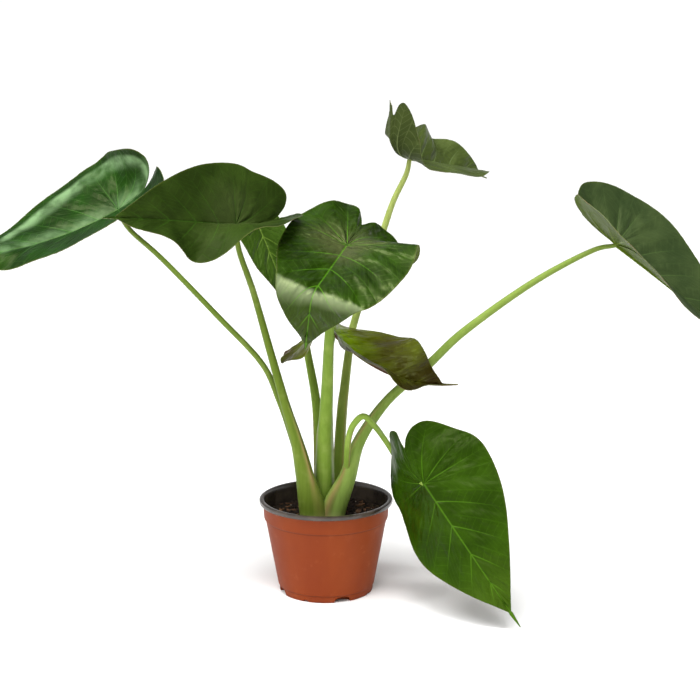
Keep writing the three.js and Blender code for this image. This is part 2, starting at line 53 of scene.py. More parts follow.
# Half outline of a blade of length 1 (half width, place along the rib), from the notch to the tip
OUTLINE = [
    (0, -0.3), (0.035, -0.38), (0.1, -0.445), (0.2, -0.455), (0.32, -0.37), (0.425, -0.2), (0.475, 0.02),
    (0.46, 0.23), (0.395, 0.43), (0.29, 0.62), (0.175, 0.79), (0.075, 0.92), (0.012, 1),
]
# Side veins passed up to a point of the outline, and where on the rib a vein to a place of the margin begins
VEIN_COUNT = [(0, 0), (3, 1), (5, 2), (11, 8), (12, 9)]
VEIN_ORIGIN = [(0.23, 0), (0.43, 0.14), (0.62, 0.33), (0.79, 0.55), (0.92, 0.77), (1, 1)]
WIDEST = 0.475
# In lengths of the rib: reach of the lobes behind the stalk, and half width of a sagging place
LOBE_REACH = 0.48
SAG_SPREAD = 0.17
# Distance between two ridges of the fine quilting, and half width of the rib
FINE_PITCH = 9
RIB_WIDTH = 1.5
# Net of one half: rays to the margin, more of them along the drawn-out tip, and points on a ray
RAYS = 150
TAIL_RAYS = 8
ACROSS = 34
SPINE_STEPS = 160

# A blade is placed by its stalk's end, heading (0 right, 90 away), dip and roll. The first row shapes its
# outline, the next bend the rib: droop and bow down and sideways, lift and back_bow behind the stalk. Then,
# for the right and the left half, fold is its slope beside the rib, open is added toward the tip, lobe_r
# and lobe_l toward the lobe, sag hangs at sag_at, and curl bends it out to the margin. Angles are in degrees.
LEAF_DEFAULTS = dict(
    length=165, width=1, side_r=1, side_l=1, blunt=0, lobe=1, notch=0.3, tail=20,
    dip=0, roll=0, droop=0, droop_from=0, droop_to=1, bow=0, twist=0,
    lift=0, lift_to=0.5, back_bow=0, back_to=0.4,
    fold_r=8, fold_l=8, open_r=0, open_l=0, lobe_r=0, lobe_l=0, curl_r=-10, curl_l=-10,
    sag_r=0, sag_l=0, sag_at=0.3, wave=1.2, waves=5, phase=0,
)
LEAVES = [
    dict(at=(-225, -20, 440), heading=195, dip=28, roll=-24, length=172, side_l=0.84, lobe=0.95,
         notch=0.22, droop=-30, lift=70, fold_r=15, fold_l=30, open_r=-20, open_l=-26, lobe_r=14,
         lobe_l=-24, sag_l=50, sag_at=0.9, curl_l=-4, phase=0.4),
    dict(at=(-92, -98, 434), heading=219, dip=-9, roll=-54, length=154, side_r=0.9, side_l=0.8,
         blunt=-0.12, tail=16, droop=-5, bow=-6, lift=14, lift_to=0.3, back_bow=14, back_to=0.3, fold_r=26,
         fold_l=64, open_l=-60, lobe_l=3, sag_l=42, sag_at=0.42, phase=1.1),
    dict(at=(24, -76, 409), heading=250, dip=19, roll=-14, length=164, side_r=0.8, side_l=1.02, blunt=0.18,
         tail=8, droop=92, droop_from=0.56, droop_to=0.74, twist=-6, fold_r=18, fold_l=21, open_l=-46,
         lobe_l=-50, wave=2, waves=6, phase=2),
    dict(at=(-76, 34, 415), heading=-45, dip=55, length=100, width=0.75, droop=10, phase=2.6),
    dict(at=(9, 2, 299), heading=-5, dip=47, roll=-3, length=146, width=0.84, blunt=0.65, lobe=1.05,
         droop=-46, bow=45, twist=-50, lift=-80, lift_to=0.12, fold_r=14, fold_l=9, open_r=45, open_l=51,
         lobe_r=-22, lobe_l=-14, sag_r=38, sag_at=0.86, wave=1.8, waves=7, phase=0.9),
    dict(at=(95, 70, 487), heading=42, dip=9, roll=6, length=118, width=0.86, side_r=0.8, side_l=0.63,
         blunt=2.1, lobe=1.56, notch=0.44, tail=14, droop=9, lift=80, lift_to=0.48, fold_r=-4, fold_l=71,
         open_r=20, open_l=-4, lobe_r=34, lobe_l=-37, sag_l=32, sag_at=0.54, wave=1.5, phase=3.1),
    dict(at=(318, -20, 402), heading=-10, dip=36, roll=12, length=170, side_l=0.94, blunt=-0.08, lobe=0.95,
         droop=6, lift=20, fold_r=32, fold_l=34, open_r=-28, lobe_r=4, phase=1.7),
    dict(at=(107, -95, 152), heading=-29, dip=51, roll=66, length=165, blunt=-0.2, lobe=0.88, droop=5,
         back_bow=-18, fold_r=-51, fold_l=0, open_r=72, lobe_r=-14, lobe_l=-10, curl_r=-8, curl_l=-15,
         phase=0.2),
]

# Stalks: points of the middle line and radii along it, then the sheath: heading of its open side, half the
# angle between its edges, height of an edge and the share of the stalk that it runs up. flap is a broad edge
# over the foot of stalk 3: its angle from the open side, its reach and the share of the stalk where it ends.
STALKS = [
    dict(points=[(-12, 18, 76), (-17, 16, 100), (-38, 6, 177), (-52, -3, 222), (-71, -11, 267),
                 (-118, -18, 321), (-177, -22, 385), (-212, -23, 418), (-225, -21, 439)],
         radii=[5.5, 5.2, 4.2, 3.6, 3.3, 3.1, 2.9, 2.7, 2.4], open=0, spread=70, edge=0.6, upto=0.3),
    dict(points=[(-15, -10, 76), (-19, -12, 110), (-25, -14, 148), (-33, -17, 183), (-46, -20, 227),
                 (-61, -26, 285), (-77, -48, 353), (-90, -78, 403), (-92, -97, 433)],
         radii=[13.5, 12.8, 10.4, 7.4, 5.4, 4.4, 3.6, 3.1, 2.5], open=5, spread=58, edge=1.6, upto=0.4,
         flap=(-38, 7, 0.2)),
    dict(points=[(-3, 4, 76), (-2, 0, 130), (-1, -13, 181), (2, -36, 240), (5, -64, 309), (9, -74, 350),
                 (19, -78, 391), (24, -76, 408)],
         radii=[11, 10, 8.5, 6.8, 5.2, 4.3, 3.4, 2.8], open=90, spread=82, edge=1.1, upto=0.36),
    dict(points=[(-6, 22, 76), (-8, 30, 169), (-12, 40, 214), (-21, 53, 262), (-34, 58, 328), (-55, 50, 380),
                 (-76, 34, 414)],
         radii=[8, 6.6, 5.2, 4.4, 3.8, 3.2, 2.3], open=-90, spread=60, edge=0.6, upto=0.35),
    dict(points=[(4, 14, 76), (3, 12, 160), (3, 9, 232), (5, 5, 276), (9, 2, 298)],
         radii=[7, 6, 4.6, 3.6, 2.8], open=180, spread=60, edge=0.6, upto=0.5),
    dict(points=[(13, 26, 76), (17, 38, 180), (26, 58, 265), (33, 71, 300), (65, 74, 402), (77, 73, 438),
                 (91, 71, 468), (95, 70, 486)],
         radii=[7.5, 6, 4.7, 4.3, 3.8, 3.3, 3, 2.5], open=-110, spread=60, edge=0.6, upto=0.35),
    dict(points=[(5, -8, 76), (13, -9, 104), (24, -10, 135), (38, -12, 179), (69, -14, 225), (113, -16, 265),
                 (154, -18, 305), (227, -20, 359), (290, -20, 394), (318, -20, 401)],
         radii=[12.8, 12.2, 10.4, 7.4, 5.6, 5, 4.6, 3.8, 3, 2.4], open=175, spread=58, edge=1.4, upto=0.33,
         flap=(40, 7, 0.16)),
    dict(points=[(24, -11, 140), (24, -20, 155), (24.5, -29, 170), (26, -36, 187), (31, -40, 203),
                 (42, -43, 214), (54, -36, 202), (70, -18, 175), (92, -57, 147), (106.6, -93.3, 152)],
         radii=[3.6, 3.8, 3.9, 3.8, 3.7, 3.6, 3.5, 3.2, 2.9, 2.5], open=0, spread=50, edge=0.2, upto=0.3),
]
STALK_SIDES = 36
STALK_STEP = 2.6
NO_FLAP = (0, 0, 1)

# Pot: radius and height round the wall, outside up to the lip, then the lip, the inside and the floor
POT_SIDES = 160
POT_OUTSIDE = [
    (0, 0), (35, 0), (37, 2.8), (45, 2.8), (46.5, 0), (52.2, 0), (53, 0.5), (53.3, 1.6), (53.8, 7.6),
    (55, 8.6), (68.9, 84.2), (69.2, 84.9), (70.3, 85.6), (70.8, 87), (71.6, 102.2), (72, 102.7),
]
POT_LIP = [
    (72, 102.7), (74.6, 102.9), (75.6, 103.5), (76, 104.6), (76, 106.2), (75.6, 107.4), (74.6, 108),
    (72.2, 108), (70.9, 107.6), (70.4, 106.6), (69.7, 102.4), (68.9, 87.4), (68.3, 85.9), (67.4, 85.2),
    (67, 84), (62.4, 60), (61.8, 59.5), (52.4, 6.6), (50.6, 4.8), (0, 4.8),
]
FOOT_INNER, FOOT_OUTER = 45.6, 61.6
FIRST_DRAIN, DRAIN_WIDTH, DRAIN_HEIGHT = 21, 19, 6.6
FIRST_NOTCH, NOTCH_WIDTH, NOTCH_HEIGHT = -25, 6, 2.4
FOOT_RING, COLLAR_RING = 8.2, 84.6

# Potting mix: its level, its radius at the top, its sloping side down to the pot's floor, and what lies on it
SOIL_LEVEL = 88
SOIL_RADIUS = 67.6
SOIL_WALL = [(66.9, 84.4), (52.2, 7), (50.3, 5.1)]
SOIL_SIDES = 96
CRUMBS, CHIPS, GRAINS = 2600, 70, 34

# Geometry helpers


def smooth(x):
    x = np.clip(x, 0, 1)
    return x * x * (3 - 2 * x)


def table(pairs, x):
    return np.interp(x, [p[0] for p in pairs], [p[1] for p in pairs])


def curve(points, stops):
    """Smooth curve through points: a stop of 0 is the first point, 1 the second."""
    pts = np.array(points, float)
    ext = np.vstack([2 * pts[0] - pts[1], pts, 2 * pts[-1] - pts[-2]])
    i = np.minimum(stops.astype(int), len(pts) - 2)
    f = (stops - i)[:, None]
    p0, p1, p2, p3 = ext[i], ext[i + 1], ext[i + 2], ext[i + 3]
    square = (2 * p0 - 5 * p1 + 4 * p2 - p3) * f ** 2
    cube = (-p0 + 3 * p1 - 3 * p2 + p3) * f ** 3
    return 0.5 * (2 * p1 + (p2 - p0) * f + square + cube)


def turned(axis, angle):
    """Matrix that turns about an axis."""
    c, s = math.cos(angle), math.sin(angle)
    x, y, z = axis
    return np.array([
        [c + x * x * (1 - c), x * y * (1 - c) - z * s, x * z * (1 - c) + y * s],
        [y * x * (1 - c) + z * s, c + y * y * (1 - c), y * z * (1 - c) - x * s],
        [z * x * (1 - c) - y * s, z * y * (1 - c) + x * s, c + z * z * (1 - c)],
    ])


def mesh_object(name, verts, faces, materials, face_materials=None, maps=None, sharp=None):
    """Object from points in millimetres. maps holds a value for each vertex of each named UV map."""
    mesh = bpy.data.meshes.new(name)
    mesh.from_pydata((np.asarray(verts, float) * MM).tolist(), [], [tuple(map(int, f)) for f in faces])
    for material in materials:
        mesh.materials.append(material)
    if face_materials is not None:
        mesh.polygons.foreach_set("material_index", np.asarray(face_materials, np.int32))
    corner = np.zeros(len(mesh.loops), np.int32)
    mesh.loops.foreach_get("vertex_index", corner)
    for key, values in (maps or {}).items():
        layer = mesh.uv_layers.new(name=key)
        layer.uv.foreach_set("vector", np.asarray(values, np.float32)[corner].ravel())
    mesh.polygons.foreach_set("use_smooth", np.ones(len(mesh.polygons), bool))
    if sharp is not None:
        mesh.set_sharp_from_angle(angle=math.radians(sharp))
    made = bpy.data.objects.new(name, mesh)
    bpy.context.scene.collection.objects.link(made)
    return made


def weld(made):
    """Joins the vertices that lie on each other."""
    work = bmesh.new()
    work.from_mesh(made.data)
    bmesh.ops.remove_doubles(work, verts=work.verts, dist=1e-7)
    bmesh.ops.dissolve_degenerate(work, edges=work.edges, dist=1e-8)
    loose = [v for v in work.verts if not v.link_faces]
    bmesh.ops.delete(work, geom=loose, context="VERTS")
    bmesh.ops.recalc_face_normals(work, faces=work.faces)
    work.to_mesh(made.data)
    work.free()


# Leaf blades


class BladeShape:
    """Blade surface: the rib is a space curve with axes at every step, the halves fold and curl from it."""

    def __init__(self, spec):
        self.s = s = {**LEAF_DEFAULTS, **spec}
        h, d = math.radians(s["heading"]), math.radians(s["dip"])
        along = np.array([math.cos(h) * math.cos(d), math.sin(h) * math.cos(d), -math.sin(d)])
        right = np.array([math.sin(h), -math.cos(h), 0])
        up = np.cross(right, along)
        roll = turned(along, math.radians(s["roll"]))
        self.base = np.stack([along, roll @ right, roll @ up], 1)
        back, front = -LOBE_REACH * s["lobe"] * s["length"], s["length"] + s["tail"] + 2
        self.v = np.linspace(back, front, SPINE_STEPS + 1)
        step = self.v[1] - self.v[0]
        self.axes = np.array([self.axes_at(v) for v in self.v])
        middle = np.array([self.axes_at(v + step / 2)[:, 0] for v in self.v[:-1]])
        run = np.vstack([np.zeros(3), np.cumsum(middle * step, 0)])
        start = np.array([np.interp(0, self.v, run[:, k]) for k in range(3)])
        self.centre = run - start + np.array(s["at"], float)

    def axes_at(self, v):
        """Axes of the rib at a place: along it, to the right and up."""
        s = self.s
        part = abs(v) / s["length"]
        bend = turn = twist = 0
        if v >= 0:
            eased = min(part, 1)
            if s["droop_to"] != 1:
                eased = smooth((part - s["droop_from"]) / (s["droop_to"] - s["droop_from"]))
            bend = s["droop"] * eased
            turn = s["bow"] * min(part, 1.2)
            twist = s["twist"] * min(part, 1)
        else:
            bend = s["lift"] * smooth(part / s["lift_to"])
            turn = -s["back_bow"] * smooth(part / s["back_to"])
        z = turned((0, 0, 1), math.radians(turn))
        y = turned((0, 1, 0), math.radians(bend))
        x = turned((1, 0, 0), math.radians(twist))
        return self.base @ z @ y @ x

    def fold_at(self, v, half):
        """Angle of one half beside the rib."""
        s = self.s
        forward = np.clip(v / s["length"], 0, 1)
        ahead = 1.12 * forward ** 2 / (forward + 0.12)
        back = smooth(-v / (0.35 * s["length"]))
        hang = np.exp(-(((v / s["length"] - s["sag_at"]) / SAG_SPREAD) ** 2))
        angle = s["fold" + half] + s["lobe" + half] * back + s["open" + half] * ahead - s["sag" + half] * hang
        return np.radians(angle)

    def place(self, u, v, h):
        """u to the right, v along the rib, h above the middle of the blade."""
        s = self.s

        def at(values):
            return np.stack([np.interp(v, self.v, values[:, k]) for k in range(3)], -1)

        centre, side_axis, up_axis = at(self.centre), at(self.axes[:, :, 1]), at(self.axes[:, :, 2])
        right, left = self.fold_at(v, "_r"), self.fold_at(v, "_l")
        start = np.where(u > 0, right, left)
        curl = np.where(u > 0, s["curl_r"] or 0.001, s["curl_l"] or 0.001)
        bend = np.radians(curl) / (WIDEST * s["length"] * s["width"])
        angle = start + bend * np.abs(u)
        side = np.sign(u) * ((np.sin(angle) - np.sin(start)) / bend - h * np.sin(angle))
        rise = (np.cos(start) - np.cos(angle)) / bend + h * np.cos(angle)
        on_rib, tilt = u == 0, (left - right) / 2
        side = np.where(on_rib, h * np.sin(tilt), side)
        rise = np.where(on_rib, h * np.cos(tilt), rise)
        return centre + side_axis * side[..., None] + up_axis * rise[..., None]

    def margin(self, sign):
        """Stops on the outline, and where the rays of one half meet the margin."""
        s = self.s
        width = s["width"] * (s["side_r"] if sign > 0 else s["side_l"])
        outline = [(OUTLINE[0][0], -s["notch"]), *OUTLINE[1:]]
        last = len(OUTLINE) - 1
        stops = np.linspace(0, last, RAYS)
        o = curve(outline, stops)
        u = o[:, 0] * width * (1 + s["blunt"] * np.maximum(o[:, 1], 0)) * s["length"]
        v = o[:, 1] * np.where(o[:, 1] < 0, s["lobe"], 1) * s["length"]
        k = np.linspace(0, 1, TAIL_RAYS + 1)[1:]
        half = 0.012 * s["length"] * width
        u = np.append(u, half * (1 - k) + 0.4)
        v = np.append(v, s["length"] + s["tail"] * k)
        return np.append(stops, np.full(TAIL_RAYS, float(last))), u, v

    def net(self, sign):
        """Grid of one half: flat place, share of the ray, vein count, spacing of the veins, place round the
        margin and distance along the ray."""
        length = self.s["length"]
        stops, mu, mv = self.margin(sign)
        origin = np.where(mv > length, mv, length * table(VEIN_ORIGIN, mv / length))
        reach = np.maximum(np.hypot(mu, mv - origin), 0.4)
        swing = np.where(origin > 0, 0.1 * mu, 0)
        share = (1 - np.cos(np.linspace(0, 1, ACROSS) * math.pi * 0.5) ** 1.15)[None, :] ** 0.9
        rest = 1 - share
        half_u, half_v = (mu / 2)[:, None], ((origin + mv) / 2 - swing)[:, None]
        u = 2 * share * rest * half_u + share ** 2 * mu[:, None]
        v = rest ** 2 * origin[:, None] + 2 * share * rest * half_v + share ** 2 * mv[:, None]
        veins = np.broadcast_to(table(VEIN_COUNT, stops)[:, None], u.shape)
        du, dv = np.gradient(u, axis=0), np.gradient(v, axis=0)
        ru, rv = np.gradient(u, axis=1), np.gradient(v, axis=1)
        ray = np.maximum(np.hypot(ru, rv), 1e-6)
        turn = np.maximum(np.abs(np.gradient(veins, axis=0)), 1e-3)
        spacing = np.clip(np.abs(du * rv - dv * ru) / ray / turn, 0, 90)
        around = np.broadcast_to((np.arange(len(stops)) / (len(stops) - 1))[:, None], u.shape)
        return u, v, np.broadcast_to(share, u.shape), veins, spacing, around, share * reach[:, None]


def blade_relief(s, sign, u, v, share, veins, spacing, around, along):
    """Heights of the upper and the lower face of one half over its middle, with quilting, waves and ribs."""
    cell = np.sin(math.pi * veins) ** 2
    from_vein = np.abs((veins + 0.5) % 1 - 0.5) * spacing
    quilt = QUILT * cell * np.sin(math.pi * np.minimum(share / 0.95, 1))
    fine = FINE_QUILT * np.sin(2 * math.pi * (along - 0.9 * from_vein) / FINE_PITCH)
    fine = fine * cell * smooth(along / 20)
    ripple = np.sin(2 * math.pi * s["waves"] * around + s["phase"] + (0 if sign > 0 else 1.7))
    edge_wave = s["wave"] * share ** 3 * ripple * np.sqrt(np.maximum(np.sin(math.pi * around), 0))
    lift = quilt + fine + edge_wave
    half = 0.5 * (BLADE_THICKNESS + (EDGE_THICKNESS - BLADE_THICKNESS) * share ** 2)
    near_rib = np.exp(-((u / RIB_WIDTH) ** 2)) * np.where(v > -2, 1, 0)
    rib = near_rib * (RIB_AT_STALK + (RIB_AT_TIP - RIB_AT_STALK) * smooth(np.abs(v) / s["length"]))
    costa = 0.8 * np.exp(-((from_vein / 0.9) ** 2)) * (1 - share) ** 0.6 * (veins > 0.5)
    valley = 0.25 * near_rib + 0.22 * np.exp(-((from_vein / 1.1) ** 2)) * (1 - share) * (veins > 0.5)
    return lift + half - valley, lift - half - np.maximum(rib, costa)


def blade_piece(k, spec, upper, lower, rim):
    """Leaf blade k: both faces of both halves, joined round the margin. kinds: 0 upper, 1 lower, 2 margin."""
    shape = BladeShape(spec)
    verts, faces, kinds = [], [], []
    maps = {"Veins": [], "Sizes": [], "Plan": []}
    count = 0
    for sign in (1, -1):
        u, v, share, veins, spacing, around, along = shape.net(sign)
        rows, columns = u.shape
        heights = blade_relief(shape.s, sign, u, v, share, veins, spacing, around, along)
        for layer, height in enumerate(heights):
            verts.append(shape.place(sign * u, v, height).reshape(-1, 3))
            maps["Veins"].append(np.stack([veins, share], -1).reshape(-1, 2))
            maps["Sizes"].append(np.stack([spacing, along], -1).reshape(-1, 2) * 0.01)
            maps["Plan"].append(np.stack([sign * u, v], -1).reshape(-1, 2) * 0.01)
            ids = count + np.arange(rows * columns).reshape(rows, columns)
            a, b, c, d = ids[:-1, :-1], ids[1:, :-1], ids[1:, 1:], ids[:-1, 1:]
            quads = np.stack([a, d, c, b] if (sign > 0) == (layer == 0) else [a, b, c, d], -1).reshape(-1, 4)
            faces.extend(quads.tolist())
            kinds.extend([layer] * len(quads))
            if layer == 0:
                top_ids = ids
            else:
                edge_top = np.concatenate([top_ids[:, -1], top_ids[-1, ::-1]])
                edge_low = np.concatenate([ids[:, -1], ids[-1, ::-1]])
                for p, q, r, t in zip(edge_top[:-1], edge_top[1:], edge_low[1:], edge_low[:-1]):
                    faces.append((p, t, r, q) if sign > 0 else (p, q, r, t))
                    kinds.append(2)
            count += rows * columns
    maps = {key: np.vstack(values) for key, values in maps.items()}
    made = mesh_object(f"blade_{k}", np.vstack(verts), faces, [upper, lower, rim], kinds, maps)
    weld(made)
    made.data.set_sharp_from_angle(angle=math.radians(50))
    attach(made, "root")
    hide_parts(f"leaf_blade_{k}")


# Stalks


def stalk_ring(k, spec, radius, x):
    """Angles round the middle line at the share x of the stalk, and the wall's reach and stain at each."""
    theta = np.linspace(-math.pi, math.pi, STALK_SIDES, endpoint=False)
    from_edge = np.abs(theta) - math.radians(spec["spread"])
    sheath = 1 - smooth((x / spec["upto"] - 0.8) / 0.3)
    ear = 1 + 0.6 * math.exp(-(((x / spec["upto"] - 0.92) / 0.07) ** 2))
    groove = (0.1 * sheath + 0.05) * np.exp(-((theta / 0.5) ** 2)) * smooth(x / 0.12)
    flap_angle, flap_reach, flap_top = spec.get("flap", NO_FLAP)
    flap = flap_reach * np.exp(-(((theta - math.radians(flap_angle)) / 0.42) ** 2))
    flap = flap * (1 - smooth((x / flap_top - 0.35) / 0.65))
    lines = 0.012 * np.cos(11 * theta + 1.3 * math.sin(3 * x + k)) * (1 - 0.5 * x)
    wing = spec["edge"] * sheath * ear * np.exp(-((from_edge / 0.13) ** 2))
    stain = sheath * np.exp(-((from_edge / 0.2) ** 2))
    return theta, radius * (1 - groove + lines) + wing + flap, stain


def stalk_piece(k, spec, material):
    """Stalk k: rings swept along its middle line, with the wings of the sheath on its open side."""
    last = len(spec["points"]) - 1
    fine = curve(spec["points"], np.linspace(0, last, 400))
    run = np.append(0, np.cumsum(np.linalg.norm(np.diff(fine, axis=0), axis=1)))
    rings = int(run[-1] / STALK_STEP)
    stops = np.interp(np.linspace(0, run[-1], rings), run, np.linspace(0, last, 400))
    centre = curve(spec["points"], stops)
    radius = np.interp(stops, np.linspace(0, last, len(spec["radii"])), spec["radii"])
    heading = math.radians(spec["open"])
    side = np.array([math.cos(heading), math.sin(heading), 0])
    verts, stem = [], []
    for i in range(rings):
        along = centre[min(i + 1, rings - 1)] - centre[max(i - 1, 0)]
        along /= np.linalg.norm(along)
        side = side - along * side.dot(along)
        side /= np.linalg.norm(side)
        other = np.cross(along, side)
        x = i / (rings - 1)
        theta, r, stain = stalk_ring(k, spec, radius[i], x)
        verts.append(centre[i] + np.outer(r * np.cos(theta), side) + np.outer(r * np.sin(theta), other))
        stem.append(np.stack([np.full(STALK_SIDES, x), stain], -1))
    n = STALK_SIDES
    faces = []
    for i in range(rings - 1):
        for j in range(n):
            q = (j + 1) % n
            faces.append((i * n + j, i * n + q, i * n + n + q, i * n + n + j))
    faces.append(tuple(range(n - 1, -1, -1)))
    faces.append(tuple((rings - 1) * n + j for j in range(n)))
    maps = {"Stem": np.vstack(stem)}
    made = mesh_object(f"stalk_{k}", np.vstack(verts), faces, [material], maps=maps, sharp=60)
    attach(made, "root")
    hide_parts(f"petiole_{k}")


# Pot and potting mix


def turned_shell(profile, sides):
    """Closed surface of revolution of a profile that starts and ends on the axis."""
    angle = np.linspace(0, 2 * math.pi, sides, endpoint=False)
    verts, faces, rows = [], [], []
    for r, z in profile:
        if r == 0:
            rows.append([len(verts)])
            verts.append((0, 0, z))
        else:
            rows.append(list(range(len(verts), len(verts) + sides)))
            verts.extend(zip(r * np.cos(angle), r * np.sin(angle), [z] * sides))
    segment = []
    for i, (low, high) in enumerate(zip(rows[:-1], rows[1:])):
        for j in range(sides):
            q = (j + 1) % sides
            if len(low) == 1:
                faces.append((low[0], high[q], high[j]))
            elif len(high) == 1:
                faces.append((low[j], low[q], high[0]))
            else:
                faces.append((low[j], low[q], high[q], high[j]))
            segment.append(i)
    return verts, faces, segment


def foot_cutter(degrees, width, height):
    """Block with an arched top that cuts an opening in the foot ring, at an angle from the front."""
    half = width / 2
    arc = [(-half, -1), (half, -1)]
    for a in np.linspace(0.12, math.pi / 2, 9):
        arc.append((half * math.cos(a) ** 0.7, height * math.sin(a) ** 0.8))
    arc += [(-x, z) for x, z in arc[:1:-1][1:]]
    turn = math.radians(degrees)
    verts = []
    for y in (-FOOT_OUTER, -FOOT_INNER):
        for x, z in arc:
            across, out = x * math.cos(turn) - y * math.sin(turn), x * math.sin(turn) + y * math.cos(turn)
            verts.append((across, out, z))
    n = len(arc)
    faces = [(j, (j + 1) % n, n + (j + 1) % n, n + j) for j in range(n)]
    faces += [tuple(range(n - 1, -1, -1)), tuple(range(n, 2 * n))]
    return mesh_object("cutter", verts, faces, [])


def pot_piece(outside, inside):
    """Turned pot with openings cut through its foot, terracotta outside, black over the lip and inside."""
    profile = POT_OUTSIDE + POT_LIP[1:]
    verts, faces, segment = turned_shell(profile, POT_SIDES)
    kinds = [0 if i < len(POT_OUTSIDE) - 1 else 1 for i in segment]
    pot = mesh_object("nursery_pot", verts, faces, [outside, inside], kinds)
    weld(pot)
    cutters = []
    for k in range(4):
        cutters.append(foot_cutter(FIRST_DRAIN + 90 * k, DRAIN_WIDTH, DRAIN_HEIGHT))
        cutters.append(foot_cutter(FIRST_NOTCH + 90 * k, NOTCH_WIDTH, NOTCH_HEIGHT))
    for cutter in cutters:
        weld(cutter)
        cut = pot.modifiers.new("cut", "BOOLEAN")
        cut.operation = "DIFFERENCE"
        cut.solver = "EXACT"
        cut.object = cutter
    graph = bpy.context.evaluated_depsgraph_get()
    mesh = bpy.data.meshes.new_from_object(pot.evaluated_get(graph))
    pot.modifiers.clear()
    pot.data = mesh
    for cutter in cutters:
        bpy.data.objects.remove(cutter)
    mesh.polygons.foreach_set("use_smooth", np.ones(len(mesh.polygons), bool))
    mesh.set_sharp_from_angle(angle=math.radians(38))
    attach(pot, "root")
    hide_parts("pot")


def soil_height(x, y):
    """Uneven top of the mix, a little higher in the middle."""
    lumps = np.sin(x * 0.31 + 1) * np.sin(y * 0.27 + 0.4) + 0.6 * np.sin(x * 0.13 - y * 0.17)
    small = 0.5 * np.sin(x * 0.9 + 2 * np.sin(y * 0.33)) * np.sin(y * 0.8 + 1.5 * np.sin(x * 0.41))
    return SOIL_LEVEL + 0.8 * lumps + 0.7 * small + 1.5 * (1 - np.hypot(x, y) / 68)


def crumb(centre, size, flat):
    """Small angular lump: an uneven ring of six corners with a point above and one below."""
    ring = RNG.uniform(0.65, 1.1, 6)[:, None] * np.stack(
        [np.cos(np.arange(6) * math.pi / 3), np.sin(np.arange(6) * math.pi / 3)], 1)
    points = [(x, y, RNG.uniform(-0.35, 0.35)) for x, y in ring]
    points += [(0.1, 0, 0.8), (-0.1, 0.1, -0.8)]
    p = np.array(points) * size * np.array([1, RNG.uniform(0.55, 1), flat])
    p = p @ turned((0, 0, 1), RNG.uniform(0, 6.3)).T @ turned((1, 0, 0), RNG.uniform(-0.5, 0.5)).T
    faces = []
    for j in range(6):
        q = (j + 1) % 6
        faces += [(j, q, 6), (q, j, 7)]
    return p + np.array(centre), faces


def bark_chip(centre, length, width, thick):
    """Flat splinter with a ragged outline and chamfered edges."""
    n = 10
    a = np.arange(n) * 2 * math.pi / n
    r = RNG.uniform(0.8, 1.08, n)
    x = length / 2 * r * np.sign(np.cos(a)) * np.abs(np.cos(a)) ** 0.6
    y = width / 2 * r * np.sign(np.sin(a)) * np.abs(np.sin(a)) ** 0.6
    bow = 0.8 * (x / length) ** 2 * thick
    low = np.stack([x * 0.94, y * 0.9, -thick / 2 + bow], 1)
    high = np.stack([x, y, thick / 2 + bow + RNG.uniform(-0.15, 0.15, n)], 1)
    p = np.vstack([low, high])
    tilt = turned((1, 0, 0), RNG.uniform(-0.3, 0.3)) @ turned((0, 1, 0), RNG.uniform(-0.25, 0.25))
    p = p @ (turned((0, 0, 1), RNG.uniform(0, 6.3)) @ tilt).T + np.array(centre)
    faces = [(j, (j + 1) % n, n + (j + 1) % n, n + j) for j in range(n)]
    faces += [tuple(range(n - 1, -1, -1)), tuple(range(n, 2 * n))]
    return p, faces


def soil_body():
    """Closed body of the mix, from the middle of its top over the side to the middle of its underside."""
    sides = SOIL_SIDES
    verts, faces, rings = [(0, 0, float(soil_height(0, 0)))], [], []
    angle = np.linspace(0, 2 * math.pi, sides, endpoint=False)
    for r in np.append(np.linspace(2, 66, 40), [SOIL_RADIUS - 0.3, SOIL_RADIUS]):
        x, y = r * np.cos(angle), r * np.sin(angle)
        rings.append(np.stack([x, y, soil_height(x, y) - (1.2 if r == SOIL_RADIUS else 0)], 1))
    for r, z in SOIL_WALL:
        rings.append(np.stack([r * np.cos(angle), r * np.sin(angle), np.full(sides, z)], 1))
    for j in range(sides):
        faces.append((0, 1 + j, 1 + (j + 1) % sides))
    for i, ring in enumerate(rings):
        verts.extend(map(tuple, ring))
        if i:
            low, high = 1 + (i - 1) * sides, 1 + i * sides
            for j in range(sides):
                q = (j + 1) % sides
                faces.append((low + j, high + j, high + q, low + q))
    bottom = len(verts)
    verts.append((0, 0, SOIL_WALL[-1][1]))
    for j in range(sides):
        faces.append((bottom, bottom - sides + (j + 1) % sides, bottom - sides + j))
    return verts, faces


def scattered(radius, least=0.0):
    """A place on the mix, evenly spread inside a radius."""
    r, a = radius * math.sqrt(RNG.uniform(least, 1)), RNG.uniform(0, 2 * math.pi)
    return r * math.cos(a), r * math.sin(a)


